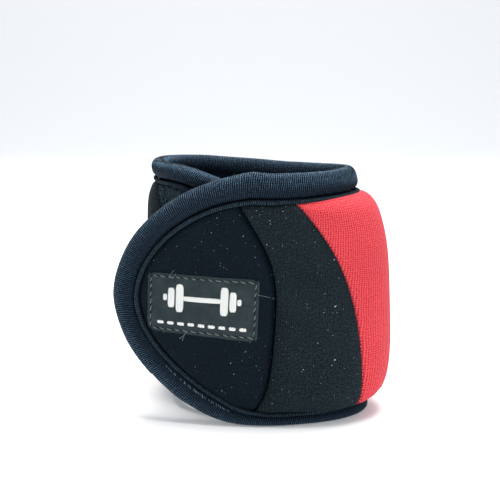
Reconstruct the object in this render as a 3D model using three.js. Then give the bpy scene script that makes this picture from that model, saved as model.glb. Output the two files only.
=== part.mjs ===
// Ankle cuff weight: a knit-covered foam strap with bags of iron shot along its middle, rolled into a
// cuff so that its outer end lies over its inner end and grips it with hook and loop.
//
// Every soft piece is laid out on the flat strap and then rolled. On the flat strap, s runs along it
// from the tip of the inner end, out is the distance outwards from the foam's middle layer, and z is up.
import * as THREE from 'three';
import { mergeVertices } from 'three/addons/utils/BufferGeometryUtils.js';

// ---- Driving dimensions: millimetres, and degrees for turns ----
const HEIGHT = 102;
const END_LENGTH = 58; // each end narrows to its tip over this length
const END_POWER = 1.8; // power of the ends' superellipse: 2 would be an ellipse
const ROLL_START = { x: 19.5, y: 13.7, heading: 190 }; // the inner tip, seen from above
const ROLL = [ // the strap's middle layer, seen from above: [length, turn] of each stretch
  [40, -29], [23, -41], [34, -45], [27, -97], [65, -19], [25, -88], [18, -29], [28, -28], [53, -16],
];
const ORIGIN = { x: 0.4, y: 43.62 }; // the middle of the rolled cuff, under which the frame's origin lies

const LENGTH = ROLL.reduce((sum, [length]) => sum + length, 0);
const FLAP_LENGTH = 67; // each thin end
const BAG_COUNT = 6;
const BAG_PITCH = 25.5;
const FLEX = { // the lines across the strap where it bends as it is opened
  underlap: FLAP_LENGTH,
  left: LENGTH - FLAP_LENGTH - BAG_COUNT * BAG_PITCH,
  side: LENGTH - FLAP_LENGTH - 2 * BAG_PITCH,
  front: LENGTH - FLAP_LENGTH - BAG_PITCH,
  tab: LENGTH - FLAP_LENGTH,
};
const FLEX_GAP = 0.15; // each piece stops this far short of a flex line

const BINDING = { depth: 9.3, thickness: 6.4, flat: 2.8, rounding: 2.2 };
const PIPING = { inset: 10.95, out: 1.5, radius: 1.15 };
const LINING = { inset: 9.6, low: -3, high: -0.3 };
const COVER = { inset: 12.4, low: 0.3, thickness: 2.7 };
const PAD = { // the bulge over the shot bags: its ends along the strap, its height and its shape
  from: 86, to: FLEX.tab, bulge: 14, ramp: 35, halfHeight: 41, alongPower: 2.2, acrossPower: 2.6, edgePower: 0.6,
};
const POCKET = { low: 0, high: 0.8 };
const BAG = { low: 1.1, clearance: 1.2, sideGap: 1.2, endGap: 6, thinnest: 6, halfHeight: 34 };
const HOOK = { from: 256, to: 298, halfHeight: 19, low: -4.4, high: -3.3 };
const LABEL = { from: 254.5, to: 297.5, middle: 49.5, halfHeight: 12, low: 3.3, high: 3.9 };

// Facets: their spacing along the strap, the number round each end, the rows across each kind of layer,
// and the number in each curve of a section
const STEP = 6.5;
const COVER_STEP = 5;
const END_FACETS = 18;
const ROWS = { cover: 14, lining: 10, bag: 10, sheet: 4 };
const CURVE_SEGMENTS = { binding: 2, piping: 6 };

const MIDDLE = HEIGHT / 2;

// ---- The rolled path ----
function walk(arc, distance) {
  const heading = arc.heading + arc.bend * distance;
  return {
    x: arc.x + (Math.sin(heading) - Math.sin(arc.heading)) / arc.bend,
    y: arc.y - (Math.cos(heading) - Math.cos(arc.heading)) / arc.bend,
    heading,
    s: arc.s + distance,
  };
}

function makeArcs() {
  const arcs = [];
  let tip = { ...ROLL_START, heading: THREE.MathUtils.degToRad(ROLL_START.heading), s: 0 };
  for (const [length, turn] of ROLL) {
    const arc = { ...tip, bend: THREE.MathUtils.degToRad(turn) / length };
    arcs.push(arc);
    tip = walk(arc, length);
  }
  return arcs;
}

const ARCS = makeArcs();

function rolled(s, out, z) {
  const arc = ARCS.findLast((each) => each.s <= s) ?? ARCS[0];
  const { x, y, heading } = walk(arc, s - arc.s);
  return new THREE.Vector3(
    x - Math.sin(heading) * out - ORIGIN.x,
    y + Math.cos(heading) * out - ORIGIN.y,
    z,
  );
}

// ---- The flat strap ----
// How far a rounded end reaches beyond its widest place, on the outline drawn this far inside the edge
function endReach(z, inset) {
  const across = Math.min(1, Math.abs(z - MIDDLE) / (MIDDLE - inset));
  return (END_LENGTH - inset) * (1 - across ** END_POWER) ** (1 / END_POWER);
}

// Points along the strap's edge, each a function of the depth inside the edge that gives [s, z]
function straightEdge(from, to, side) {
  const count = Math.max(1, Math.round(Math.abs(to - from) / STEP));
  return Array.from({ length: count + 1 }, (_, i) => {
    const s = from + ((to - from) * i) / count;
    return (inset) => [s, MIDDLE + side * (MIDDLE - inset)];
  });
}

function roundEdge(centre, direction) {
  const power = 2 / END_POWER;
  return Array.from({ length: END_FACETS - 1 }, (_, i) => {
    const angle = Math.PI * ((i + 1) / END_FACETS - 0.5);
    const lift = Math.sign(angle) * Math.abs(Math.sin(angle)) ** power;
    const reach = Math.cos(angle) ** power;
    return (inset) => [
      centre + direction * (END_LENGTH - inset) * reach,
      MIDDLE + (MIDDLE - inset) * lift,
    ];
  });
}

// How far along its ramp the bulge is: 1 at its ends, 0 where it is at its full height
function alongPad(s) {
  const fromNearEnd = Math.max(0, Math.min(s - PAD.from, PAD.to - s));
  return Math.max(0, 1 - fromNearEnd / PAD.ramp);
}

// How far the shot bags push the cover out
function padBulge(s, z) {
  const across = Math.abs(z - MIDDLE) / PAD.halfHeight;
  const inside = 1 - alongPad(s) ** PAD.alongPower - across ** PAD.acrossPower;
  return PAD.bulge * Math.max(0, inside) ** PAD.edgePower;
}

// Half the height over which the bulge is at least the thinnest that holds a bag
function bagHalfHeight(s) {
  const thinnest = (BAG.thinnest / PAD.bulge) ** (1 / PAD.edgePower);
  const across = Math.max(0, 1 - alongPad(s) ** PAD.alongPower - thinnest) ** (1 / PAD.acrossPower);
  return Math.min(BAG.halfHeight, PAD.halfHeight * across);
}

// ---- Solids ----
// Moves each vertex of a closed geometry to the place that layOut gives on the flat strap, and rolls it
function rolledSolid(geometry, layOut) {
  geometry.deleteAttribute('normal');
  geometry.deleteAttribute('uv');
  const solid = mergeVertices(geometry);
  const position = solid.getAttribute('position');
  for (let i = 0; i < position.count; i += 1) {
    const place = rolled(...layOut(position.getX(i), position.getY(i), position.getZ(i)));
    position.setXYZ(i, place.x, place.y, place.z);
  }
  if (volume(solid) < 0) {
    turnInsideOut(solid);
  }
  solid.computeVertexNormals();
  return solid;
}

function volume(solid) {
  const position = solid.getAttribute('position');
  const index = solid.getIndex();
  const corner = (i) => new THREE.Vector3().fromBufferAttribute(position, index.getX(i));
  let total = 0;
  for (let i = 0; i < index.count; i += 3) {
    total += corner(i).dot(corner(i + 1).cross(corner(i + 2))) / 6;
  }
  return total;
}

function turnInsideOut(solid) {
  const index = solid.getIndex();
  for (let i = 0; i < index.count; i += 3) {
    const second = index.getX(i + 1);
    index.setX(i + 1, index.getX(i + 2));
    index.setX(i + 2, second);
  }
}

// A layer of the strap: from(z) and to(z) are its ends, low(s, z) and high(s, z) its two faces, and
// halfHeight(s) its reach above and below the middle
function layer({ from, to, low, high, halfHeight, rows, middle = MIDDLE, step = STEP }) {
  const columns = Math.ceil((to(middle) - from(middle)) / step);
  const box = new THREE.BoxGeometry(2, 2, 2, columns, 1, rows);
  return rolledSolid(box, (x, y, rise) => {
    const lift = Math.sin((rise * Math.PI) / 2); // rows lie closer together near the edges
    const levelZ = middle + lift * halfHeight(from(middle));
    const s = from(levelZ) + ((to(levelZ) - from(levelZ)) * (x + 1)) / 2;
    const z = middle + lift * halfHeight(s);
    return [s, y > 0 ? high(s, z) : low(s, z), z];
  });
}

// A section swept along the strap's edge; the section's x is the depth inside the edge and its y is out
function edging(section, stations, curveSegments) {
  const count = stations.length - 1;
  const options = { depth: count, steps: count, curveSegments, bevelEnabled: false };
  return rolledSolid(new THREE.ExtrudeGeometry(section, options), (inset, out, station) => {
    const [s, z] = stations[Math.round(station)](inset);
    return [s, out, z];
  });
}

function bindingSection() {
  const { depth, thickness, flat, rounding } = BINDING;
  const half = thickness / 2;
  const section = new THREE.Shape();
  section.moveTo(0, -flat / 2);
  section.lineTo(0, flat / 2);
  section.quadraticCurveTo(0, half, rounding, half);
  section.lineTo(depth, half);
  section.lineTo(depth, -half);
  section.lineTo(rounding, -half);
  section.quadraticCurveTo(0, -half, 0, -flat / 2);
  return section;
}

function pipingSection() {
  const section = new THREE.Shape();
  section.absarc(PIPING.inset, PIPING.out, PIPING.radius, 0, 2 * Math.PI);
  return section;
}

// ---- Materials ----
const cloth = (color, roughness = 0.9) => new THREE.MeshStandardMaterial({ color, roughness, metalness: 0 });
const BLACK_KNIT = cloth('#17181c');
const CHARCOAL_KNIT = cloth('#2c2e30');
const RED_KNIT = cloth('#e0444f');
const BINDING_KNIT = cloth('#1b1c21', 0.8);
const LINING_KNIT = cloth('#141418', 0.85);
const LOOP_FABRIC = cloth('#1d1e21', 1);
const POCKET_FABRIC = cloth('#3a3a3c');
const BAG_FILM = cloth('#5a5a5c', 0.5);
const HOOK_NYLON = cloth('#101012', 0.6);
const LABEL_SATIN = cloth('#26272a', 0.5);

// ---- Sub-parts ----
const cuff = new THREE.Group();

function add(name, geometry, material) {
  const mesh = new THREE.Mesh(geometry, material);
  mesh.name = name;
  cuff.add(mesh);
}

// Each section of the strap between two flex lines is one moving body
const SECTIONS = [
  { name: 'underlap', from: 0, to: FLEX.underlap, cover: 'loop_panel', material: LOOP_FABRIC },
  { name: 'left', from: FLEX.underlap, to: FLEX.left, cover: 'left_cover', material: CHARCOAL_KNIT },
  { name: 'back', from: FLEX.left, to: FLEX.side, cover: 'back_cover', material: RED_KNIT },
  { name: 'side', from: FLEX.side, to: FLEX.front, cover: 'side_cover', material: RED_KNIT },
  { name: 'front', from: FLEX.front, to: FLEX.tab, cover: 'front_cover', material: CHARCOAL_KNIT },
  { name: 'tab', from: FLEX.tab, to: LENGTH, cover: 'tab_cover', material: BLACK_KNIT },
];

// A section's two ends, at the given height and depth inside the strap's edge
function sectionEnds(section, inset) {
  const roundStart = (z) => END_LENGTH - endReach(z, inset);
  const roundEnd = (z) => LENGTH - END_LENGTH + endReach(z, inset);
  return {
    from: section.from === 0 ? roundStart : () => section.from + FLEX_GAP,
    to: section.to === LENGTH ? roundEnd : () => section.to - FLEX_GAP,
  };
}

function addCover(section) {
  const geometry = layer({
    ...sectionEnds(section, COVER.inset),
    low: (s, z) => COVER.low + padBulge(s, z),
    high: (s, z) => COVER.low + COVER.thickness + padBulge(s, z),
    halfHeight: () => MIDDLE - COVER.inset,
    rows: ROWS.cover,
    step: COVER_STEP,
  });
  add(section.cover, geometry, section.material);
}

function addLining(section) {
  const geometry = layer({
    ...sectionEnds(section, LINING.inset),
    low: () => LINING.low,
    high: () => LINING.high,
    halfHeight: () => MIDDLE - LINING.inset,
    rows: ROWS.lining,
  });
  add(`${section.name}_lining`, geometry, LINING_KNIT);
}

function addEdging(name, stations) {
  add(`${name}_binding`, edging(bindingSection(), stations, CURVE_SEGMENTS.binding), BINDING_KNIT);
  add(`${name}_piping`, edging(pipingSection(), stations, CURVE_SEGMENTS.piping), BLACK_KNIT);
}

function addEdgings(section) {
  if (section.from === 0) {
    addEdging(section.name, [
      ...straightEdge(section.to - FLEX_GAP, END_LENGTH, -1),
      ...roundEdge(END_LENGTH, -1),
      ...straightEdge(END_LENGTH, section.to - FLEX_GAP, 1),
    ]);
  } else if (section.to === LENGTH) {
    addEdging(section.name, [
      ...straightEdge(section.from + FLEX_GAP, LENGTH - END_LENGTH, -1),
      ...roundEdge(LENGTH - END_LENGTH, 1),
      ...straightEdge(LENGTH - END_LENGTH, section.from + FLEX_GAP, 1),
    ]);
  } else {
    const ends = [section.from + FLEX_GAP, section.to - FLEX_GAP];
    addEdging(`${section.name}_top`, straightEdge(...ends, 1));
    addEdging(`${section.name}_bottom`, straightEdge(...ends, -1));
  }
}

function addBag(number) {
  const start = FLEX.left + (number - 1) * BAG_PITCH;
  const from = start + BAG.sideGap;
  const to = Math.min(start + BAG_PITCH - BAG.sideGap, FLEX.tab - BAG.endGap);
  const geometry = layer({
    from: () => from,
    to: () => to,
    low: () => BAG.low,
    high: (s, z) => padBulge(s, z) - BAG.clearance,
    halfHeight: bagHalfHeight,
    rows: ROWS.bag,
  });
  add(`shot_bag_${number}`, geometry, BAG_FILM);
}

function addPocketSheet(section) {
  const from = section.from + BAG.sideGap;
  const to = Math.min(section.to - BAG.sideGap, FLEX.tab - BAG.endGap);
  const geometry = layer({
    from: () => from,
    to: () => to,
    low: () => POCKET.low,
    high: () => POCKET.high,
    halfHeight: bagHalfHeight,
    rows: ROWS.sheet,
  });
  add(`${section.name}_pocket_sheet`, geometry, POCKET_FABRIC);
}

function addPatch(name, { from, to, middle, halfHeight, low, high }, material) {
  const geometry = layer({
    from: () => from,
    to: () => to,
    low: () => low,
    high: () => high,
    halfHeight: () => halfHeight,
    middle,
    rows: ROWS.sheet,
  });
  add(name, geometry, material);
}

for (const section of SECTIONS) {
  addCover(section);
  addLining(section);
  addEdgings(section);
  if (section.from >= FLEX.left && section.to <= FLEX.tab) {
    addPocketSheet(section);
  }
}
for (let number = 1; number <= BAG_COUNT; number += 1) {
  addBag(number);
}
addPatch('hook_tape', HOOK, HOOK_NYLON);
addPatch('woven_label', LABEL, LABEL_SATIN);

export default cuff;
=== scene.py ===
"""Looks of the ankle cuff weight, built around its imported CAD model.

Every soft piece is laid out on the flat strap, in millimetres: s runs along the strap from the tip of
its inner end, out is the distance outwards from the foam's middle layer, and z is up. It is then
settled into its worn shape, rolled into the cuff, in metres, and split where neighbouring joints meet.
"""
import math
from collections import namedtuple
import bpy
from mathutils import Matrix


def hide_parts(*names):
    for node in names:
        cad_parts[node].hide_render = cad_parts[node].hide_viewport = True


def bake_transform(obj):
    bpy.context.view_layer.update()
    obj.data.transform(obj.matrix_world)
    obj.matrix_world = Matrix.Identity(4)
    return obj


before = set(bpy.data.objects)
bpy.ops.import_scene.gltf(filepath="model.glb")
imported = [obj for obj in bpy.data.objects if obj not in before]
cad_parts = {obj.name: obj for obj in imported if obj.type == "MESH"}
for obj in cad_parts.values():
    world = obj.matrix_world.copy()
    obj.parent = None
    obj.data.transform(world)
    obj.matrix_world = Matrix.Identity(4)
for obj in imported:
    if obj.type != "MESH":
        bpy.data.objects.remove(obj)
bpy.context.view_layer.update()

from types import SimpleNamespace as Sizes

import bmesh
import bpy
import numpy as np
from mathutils import Vector

MM = 0.001

# ---- The strap, as in the CAD model ----
HEIGHT = 102.0
MIDDLE = HEIGHT / 2
END_LENGTH = 58.0
END_POWER = 1.8
ROLL_START = (19.5, 13.7, 190.0)
ROLL = [
    (40, -29), (23, -41), (34, -45), (27, -97), (65, -19), (25, -88), (18, -29), (28, -28), (53, -16),
]
ORIGIN = (0.4, 43.62)
LENGTH = float(sum(length for length, _ in ROLL))
BEND_SOFTNESS = 12.0  # the length over which one bend of the path runs into the next

# Where the strap bends as it opens: the places where its stretches meet, and the stretches' names
CUTS = [80.0, 144.0, 207.75, 233.25]  # where one joint's pieces meet the next one's
STRETCHES = ["inner", "left", "back", "side", "outer"]

# ---- The fabric's shape ----
PANEL = Sizes(half_height=39.4, face=3.0, thickness=1.6)
# The pad over the bags: its bulge, fuller at the back, and the lips where it meets its end seams
PAD = Sizes(start=88.0, rise=52.0, fall=46.0, bulge=8.9, top_power=2.6, bottom_power=4.6, fall_to=-6.0,
            edge=0.55, back=5.0, back_at=132.0, back_width=34.0, lip=1.4, lip_width=1.3, inner_lip=3.0,
            inner_width=5.0, inner_from=95.0, inner_to=150.0)
# How far the pad hangs over its top and bottom seams; full brings the curve's highest point to 1
OVERHANG = Sizes(top=1.9, bottom=1.2, start=108.0, end=140.0, fall=44.0, fall_to=8.0, full=4.28)
FLARE = Sizes(out=4.6, at=204.0, width=24.0)
LEAN = Sizes(at=207.0, width=28.0, inward=2.5, below_piping=6.0)
TUCK = Sizes(at=84.0, width=32.0, inward=1.8, low=6.5)
# How far the strap's top edge and its piping ride up at places along it, fading out down to a height
RISE_DOWN_TO = 45.0
RISE_AT = [0, 50, 85, 110, 140, 165, 190, 205, 220, 235, 249, 256, 264]
TOP_RISE = [1.6, 2.0, 1.8, 1.5, 0.5, 0.0, 0.5, 0.9, 0.5, 0.1, 0.1, 0.8, 0.0]
PIPING_RISE = [2.5, 4.4, 4.4, 3.4, 1.2, 0.4, 1.2, 1.9, 1.1, 0.3, 0.0, 0.2, 0.0]
# How far the lower piping sinks as the binding under it is flattened, fading out up to a height
SINK_UP_TO = 48.0
SINK_AT = [0, 140, 165, 185, 205, 228, 250, 262, 270, 280, 292]
PIPING_SINK = [0.0, 0.0, 1.5, 3.5, 5.2, 6.6, 6.6, 4.8, 2.6, 1.0, 0.0]
TIP_STRETCH = Sizes(start=248.0, end=312.0, low=12.0, high=48.0, by=1.7)
LEFT_RISE = Sizes(until=120.0, fade=50.0, rise=3.0)  # how far the lower edge stands off the floor
BINDING = Sizes(depth=9.6, half=3.4, power=2.35, rib=0.4, relief=0.016)
PIPING = Sizes(inset=11.05, out=2.15, radius=0.98, rib=0.45, relief=0.05)
LINING = Sizes(inset=8.6, low=-3.1, high=-1.4)
LABEL = Sizes(s=275.2, z=49.6, half_s=21.5, half_z=12.0, tilt=2.4, lift=0.12, thick=0.26, hem=0.55,
              hem_inset=0.6, hem_rise=0.1, sunk=0.1, mark=0.12, dash=0.11, wave=0.12, ripple=0.08,
              pull=0.12, pull_width=0.7)
HOOK = Sizes(start=256.0, end=298.0, half_height=19.0, out=-3.55, high=0.4, low=0.1)


def path_table():
    """The strap's middle layer seen from above: s, x, y and heading, with the bends eased together."""
    step, margin = 0.25, 40
    s = np.arange(-margin, LENGTH + margin + step / 2, step)
    starts = np.cumsum([0] + [length for length, _ in ROLL])
    turns = np.cumsum([0] + [turn for _, turn in ROLL])
    heading = np.radians(ROLL_START[2] + np.interp(s, starts, turns))
    first, last = s < 0, s > LENGTH
    slope = [math.radians(ROLL[i][1]) / ROLL[i][0] for i in (0, -1)]
    heading[first] += s[first] * slope[0]
    heading[last] += (s[last] - LENGTH) * slope[1]
    window = np.hanning(int(BEND_SOFTNESS / step) | 1)
    pad = len(window) // 2
    eased = np.convolve(np.pad(heading, pad, mode="edge"), window / window.sum(), mode="valid")
    start = int(np.argmin(abs(s)))
    slopes = (np.cos(eased), np.sin(eased))
    x, y = (np.concatenate([[0], np.cumsum((f[1:] + f[:-1]) / 2 * step)]) for f in slopes)
    x += ROLL_START[0] - ORIGIN[0] - x[start]
    y += ROLL_START[1] - ORIGIN[1] - y[start]
    return s, x, y, eased


PATH = path_table()


def roll(points):
    """Flat points (s, out, z) in millimetres, rolled into the cuff, in metres."""
    s, out, z = np.asarray(points, float).T
    x, y, heading = (np.interp(s, PATH[0], column) for column in PATH[1:])
    return np.column_stack([x - np.sin(heading) * out, y + np.cos(heading) * out, z]) * MM


def smoothstep(low, high, value):
    t = np.clip((value - low) / (high - low), 0, 1)
    return t * t * (3 - 2 * t)


def bump(value, at, width):
    return np.exp(-(((value - at) / width) ** 2))


def crowded(count):
    """Numbers from -1 to 1, crowded towards both ends."""
    return np.sin(np.linspace(-1, 1, count) * math.pi / 2)


def settle(points):
    """The flat strap's worn shape. At the outer bend its lower edge splays out and its upper edge leans
    in, its left side is tucked in and stands off the floor, and its edges ride up, sink and stretch."""
    s, out, z = np.asarray(points, float).T
    low = 1 - z / HEIGHT
    piping = HEIGHT - PIPING.inset
    out = out + FLARE.out * low * bump(s, FLARE.at, FLARE.width)
    high = smoothstep(piping - LEAN.below_piping, HEIGHT, z)
    out = out - LEAN.inward * bump(s, LEAN.at, LEAN.width) * high
    tuck = bump(s, TUCK.at, TUCK.width)
    out = out - TUCK.inward * tuck - TUCK.low * tuck * low
    top = np.clip((z - piping) / PIPING.inset, 0, 1)
    rise = np.interp(s, RISE_AT, PIPING_RISE) * (1 - top) + np.interp(s, RISE_AT, TOP_RISE) * top
    z = z + rise * smoothstep(RISE_DOWN_TO, piping, z)
    left = 1 - smoothstep(LEFT_RISE.until, LEFT_RISE.until + LEFT_RISE.fade, s)
    z = z + LEFT_RISE.rise * left * np.clip(low, 0, 1)
    bottom = np.clip(z / PIPING.inset, 0, 1) * (1 - smoothstep(PIPING.inset, SINK_UP_TO, z))
    z = z - np.interp(s, SINK_AT, PIPING_SINK) * bottom
    tip = smoothstep(TIP_STRETCH.start, TIP_STRETCH.end, s)
    s = s + TIP_STRETCH.by * tip * smoothstep(TIP_STRETCH.low, TIP_STRETCH.high, z)
    return np.column_stack([s, out, z])


# ---- Lines across the flat strap ----
SEAM_HALF = 39.0  # the seams' curves are given in shares of this height above the middle


def across(z):
    return (z - MIDDLE) / SEAM_HALF


def seam_loop(z):
    return 59 + 12 * across(z) ** 2


def seam_red_outer(z):
    t = across(z)
    return 221 + 8.6 * t + 7.2 * t**2 + 3.2 * t**3


def seam_red_inner(z):
    return LENGTH + 10 - seam_red_outer(HEIGHT - z)


def seam_tab(z):
    t = across(z)
    return 246.9 + 9.4 * t**2 + 10.6 * t**3 + 1.5 * t**4 - 7.8 * t**5


def pad_end(z):
    """Where the bulge over the bags stops, just short of the tab's seam."""
    return seam_tab(z) - 0.4


def end_reach(z, inset):
    share = np.clip(abs(z - MIDDLE) / (MIDDLE - inset), 0, 1)
    return (END_LENGTH - inset) * (1 - share**END_POWER) ** (1 / END_POWER)


def inner_end(z, inset=HEIGHT / 2 - PANEL.half_height):
    return END_LENGTH - end_reach(z, inset)


def outer_end(z, inset=HEIGHT / 2 - PANEL.half_height):
    return LENGTH - END_LENGTH + end_reach(z, inset)


# ---- Meshes ----
CLOTHS = {}  # the materials, by the names that this script gives them


def show(name, data):
    """A new object in the scene."""
    made = bpy.data.objects.new(name, data)
    bpy.context.scene.collection.objects.link(made)
    return made


def show_mesh(name, points, faces):
    mesh = bpy.data.meshes.new(name)
    mesh.from_pydata(points, [], faces)
    return show(name, mesh)


def between(first, last, share):
    return np.array(first) * (1 - share) + np.array(last) * share


# A closed mesh on the flat strap: points (s, out, z), faces, and each face corner's place in its cloth,
# in millimetres
Flat = namedtuple("Flat", "points faces cloth")


def join(parts):
    points, faces, cloth, count = [], [], [], 0
    for part in parts:
        points.append(part.points)
        faces += [tuple(i + count for i in face) for face in part.faces]
        cloth += part.cloth
        count += len(part.points)
    return Flat(np.concatenate(points), faces, cloth)


def grid_faces(rows, columns):
    """The numbers of a grid's points, and its faces."""
    index = np.arange(rows * columns).reshape(rows, columns)
    quads = np.stack([index[:-1, :-1], index[:-1, 1:], index[1:, 1:], index[1:, :-1]], -1)
    return index, quads.reshape(-1, 4)


def shell(outer, inner, cloth):
    """A closed thin body between two grids of points, with the same rows and columns."""
    points = np.concatenate([outer.reshape(-1, 3), inner.reshape(-1, 3)])
    cloth = cloth.reshape(-1, 2)
    index, quads = grid_faces(*outer.shape[:2])
    rim = np.concatenate([index[0, :], index[1:, -1], index[-1, -2::-1], index[-2:0:-1, 0]])
    following = np.roll(rim, -1)
    under = index.size
    walls = np.stack([rim, following, following + under, rim + under], -1)
    faces = np.concatenate([quads, quads[:, ::-1] + under, walls[:, ::-1]])
    return Flat(points, [tuple(face) for face in faces.tolist()],
                [[cloth[i % under] for i in face] for face in faces])


def slab(s, z, high, low, cloth=None):
    """A closed thin body between two heights over a grid of flat places. cloth gives its places in its
    cloth where they aren't the flat ones."""
    outer, inner = (np.stack([s, out + 0 * s, z], -1) for out in (high, low))
    return shell(outer, inner, np.stack(cloth or (s, z), -1))


def tube(path, radius, sides, taper=None):
    """A closed round tube along flat points; taper scales its radius at each of them."""
    path = np.asarray(path, float)
    taper = np.ones(len(path)) if taper is None else taper
    ahead = np.gradient(path, axis=0)
    ahead /= np.linalg.norm(ahead, axis=1)[:, None]
    side = np.cross(ahead, np.where(abs(ahead[:, 1:2]) < 0.9, (0.0, 1.0, 0.0), (1.0, 0.0, 0.0)))
    side /= np.linalg.norm(side, axis=1)[:, None]
    up = np.cross(side, ahead)
    turn = np.arange(sides) * 2 * math.pi / sides
    ring = np.cos(turn)[:, None] * side[:, None] + np.sin(turn)[:, None] * up[:, None]
    points = (path[:, None] + ring * (radius * taper)[:, None, None]).reshape(-1, 3)
    faces = []
    for i in range(len(path) - 1):
        for j in range(sides):
            k = (j + 1) % sides
            faces.append((i * sides + j, i * sides + k, (i + 1) * sides + k, (i + 1) * sides + j))
    last = (len(path) - 1) * sides
    faces += [tuple(range(sides))[::-1], tuple(range(last, last + sides))]
    cloth = [[(points[i][0], points[i][2]) for i in face] for face in faces]
    return Flat(points, faces, cloth)


def stretch_of(s):
    return int(np.searchsorted(CUTS, s))


def rolled_mesh(flat):
    """The flat body as a rolled bmesh, cut along CUTS and with its faces out, and its points' flat
    places."""
    made = bmesh.new()
    cloth = made.loops.layers.uv.new("Cloth")
    points = [made.verts.new(p) for p in flat.points]
    for face, corners in zip(flat.faces, flat.cloth):
        for loop, place in zip(made.faces.new([points[i] for i in face]).loops, corners):
            loop[cloth].uv = place
    bmesh.ops.recalc_face_normals(made, faces=made.faces)
    low, high = flat.points[:, 0].min(), flat.points[:, 0].max()
    for cut in CUTS:
        if low < cut < high:
            bmesh.ops.bisect_plane(made, geom=[*made.verts, *made.edges, *made.faces], dist=1e-4,
                                   plane_co=(cut, 0, 0), plane_no=(1, 0, 0))
    made.verts.index_update()
    flats = np.array([v.co for v in made.verts])
    for v, place in zip(made.verts, roll(settle(flats))):
        v.co = place
    made.normal_update()
    return made, flats


def closed_part(whole, faces):
    """The mesh of some of the whole's faces, with its cut ends closed, and its points' numbers in the
    whole."""
    cloth = whole.loops.layers.uv["Cloth"]
    numbers = sorted({v.index for f in faces for v in f.verts})
    part = bmesh.new()
    part_cloth = part.loops.layers.uv.new("Cloth")
    whole.verts.ensure_lookup_table()
    points = {i: part.verts.new(whole.verts[i].co) for i in numbers}
    for f in faces:
        copy = part.faces.new([points[v.index] for v in f.verts])
        copy.smooth = True
        for loop, old in zip(copy.loops, f.loops):
            loop[part_cloth].uv = old[cloth].uv
    rim = [e for e in part.edges if e.is_boundary]
    if rim:
        bmesh.ops.holes_fill(part, edges=rim, sides=0)
    return part, numbers


def make(name, flat, slot, nodes=None, cloth=None):
    """Rolls a flat body into the cuff and splits it into its stretches, each a closed piece. nodes gives
    the CAD nodes that each stretch stands for, and cloth names its material where it isn't the slot's."""
    whole, flats = rolled_mesh(flat)
    normals = np.array([v.normal for v in whole.verts])
    lengthwise = flats[:, 0].tolist()
    stretches = {}
    for face in whole.faces:
        middle = sum(lengthwise[v.index] for v in face.verts) / len(face.verts)
        stretches.setdefault(stretch_of(middle), []).append(face)
    pieces = []
    for stretch in sorted(stretches):
        part, numbers = closed_part(whole, stretches[stretch])
        title = name if len(stretches) == 1 else f"{name}_{STRETCHES[stretch]}"
        mesh = bpy.data.meshes.new(title)
        part.to_mesh(mesh)
        part.free()
        mesh.normals_split_custom_set_from_vertices(normals[numbers])
        mesh.materials.append(CLOTHS[cloth or slot])
        piece = show(title, mesh)
        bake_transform(piece)
        for node in (nodes or {}).get(STRETCHES[stretch], "").split():
            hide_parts(node)
        pieces.append(piece)
    whole.free()
    return pieces


# ---- Cloth simulation ----
# The cloth is simulated enlarged, on every second row and column of the panel's grid
SIM = Sizes(scale=10.0, frames=20, thin=2, pressure=4.0, quality=6, mass=0.2, bending=2.0)


def held_cloth(grid):
    """A cloth object of a panel's face, laid flat and enlarged, held along its seams."""
    places = grid.reshape(-1, 3)[:, [0, 2, 1]] * MM * SIM.scale
    index, quads = grid_faces(*grid.shape[:2])
    sheet = show_mesh("cloth", places.tolist(), quads.tolist())
    rim = np.concatenate([index[0], index[-1], index[:, 0], index[:, -1]])
    sheet.vertex_groups.new(name="held").add([int(i) for i in np.unique(rim)], 1.0, "REPLACE")
    return sheet


def puffed(grid, cap):
    """How far each point of a panel's face moves when its cloth is blown up against its seams, at most
    cap."""
    rows, columns = (np.unique([*range(0, size, SIM.thin), size - 1]) for size in grid.shape[:2])
    coarse = grid[np.ix_(rows, columns)]
    sheet = held_cloth(coarse)
    cloth = sheet.modifiers.new("Cloth", "CLOTH")
    settings = cloth.settings
    settings.quality, settings.mass = SIM.quality, SIM.mass
    settings.bending_stiffness = SIM.bending
    settings.use_pressure, settings.uniform_pressure_force = True, SIM.pressure
    settings.vertex_group_mass = "held"
    settings.effector_weights.gravity = 0.0
    cloth.point_cache.frame_start, cloth.point_cache.frame_end = 1, SIM.frames
    scene = bpy.context.scene
    for number in range(1, SIM.frames + 1):
        scene.frame_set(number)
    shaped = sheet.evaluated_get(bpy.context.evaluated_depsgraph_get()).to_mesh()
    moved = np.array([v.co for v in shaped.vertices])[:, [0, 2, 1]] / MM / SIM.scale
    moved = moved.reshape(coarse.shape) - coarse
    bpy.data.objects.remove(sheet)
    scene.frame_set(1)
    size = np.linalg.norm(moved, axis=-1, keepdims=True)
    moved *= cap * np.tanh(size / cap) / np.maximum(size, 1e-9)
    for axis, kept in ((1, columns), (0, rows)):
        every = np.arange(grid.shape[axis])
        moved = np.apply_along_axis(lambda line: np.interp(every, kept, line), axis, moved)
    return moved


# ---- Panels ----
UNDER_SHARE = 0.86  # the cover's underside bulges by this share of its face's bulge
UNDER_HEIGHT = 0.985  # and is this share of its face's height
PUFF = {"padded": 0.6, "flat": 0.3}  # how far the cloth of a panel's face may rise when blown up
FACES = []  # the points of each panel's face, for what is sewn onto it
NEAR = Sizes(count=4, within=4.0, soft=0.01)  # which of those points a place takes its height from


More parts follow.
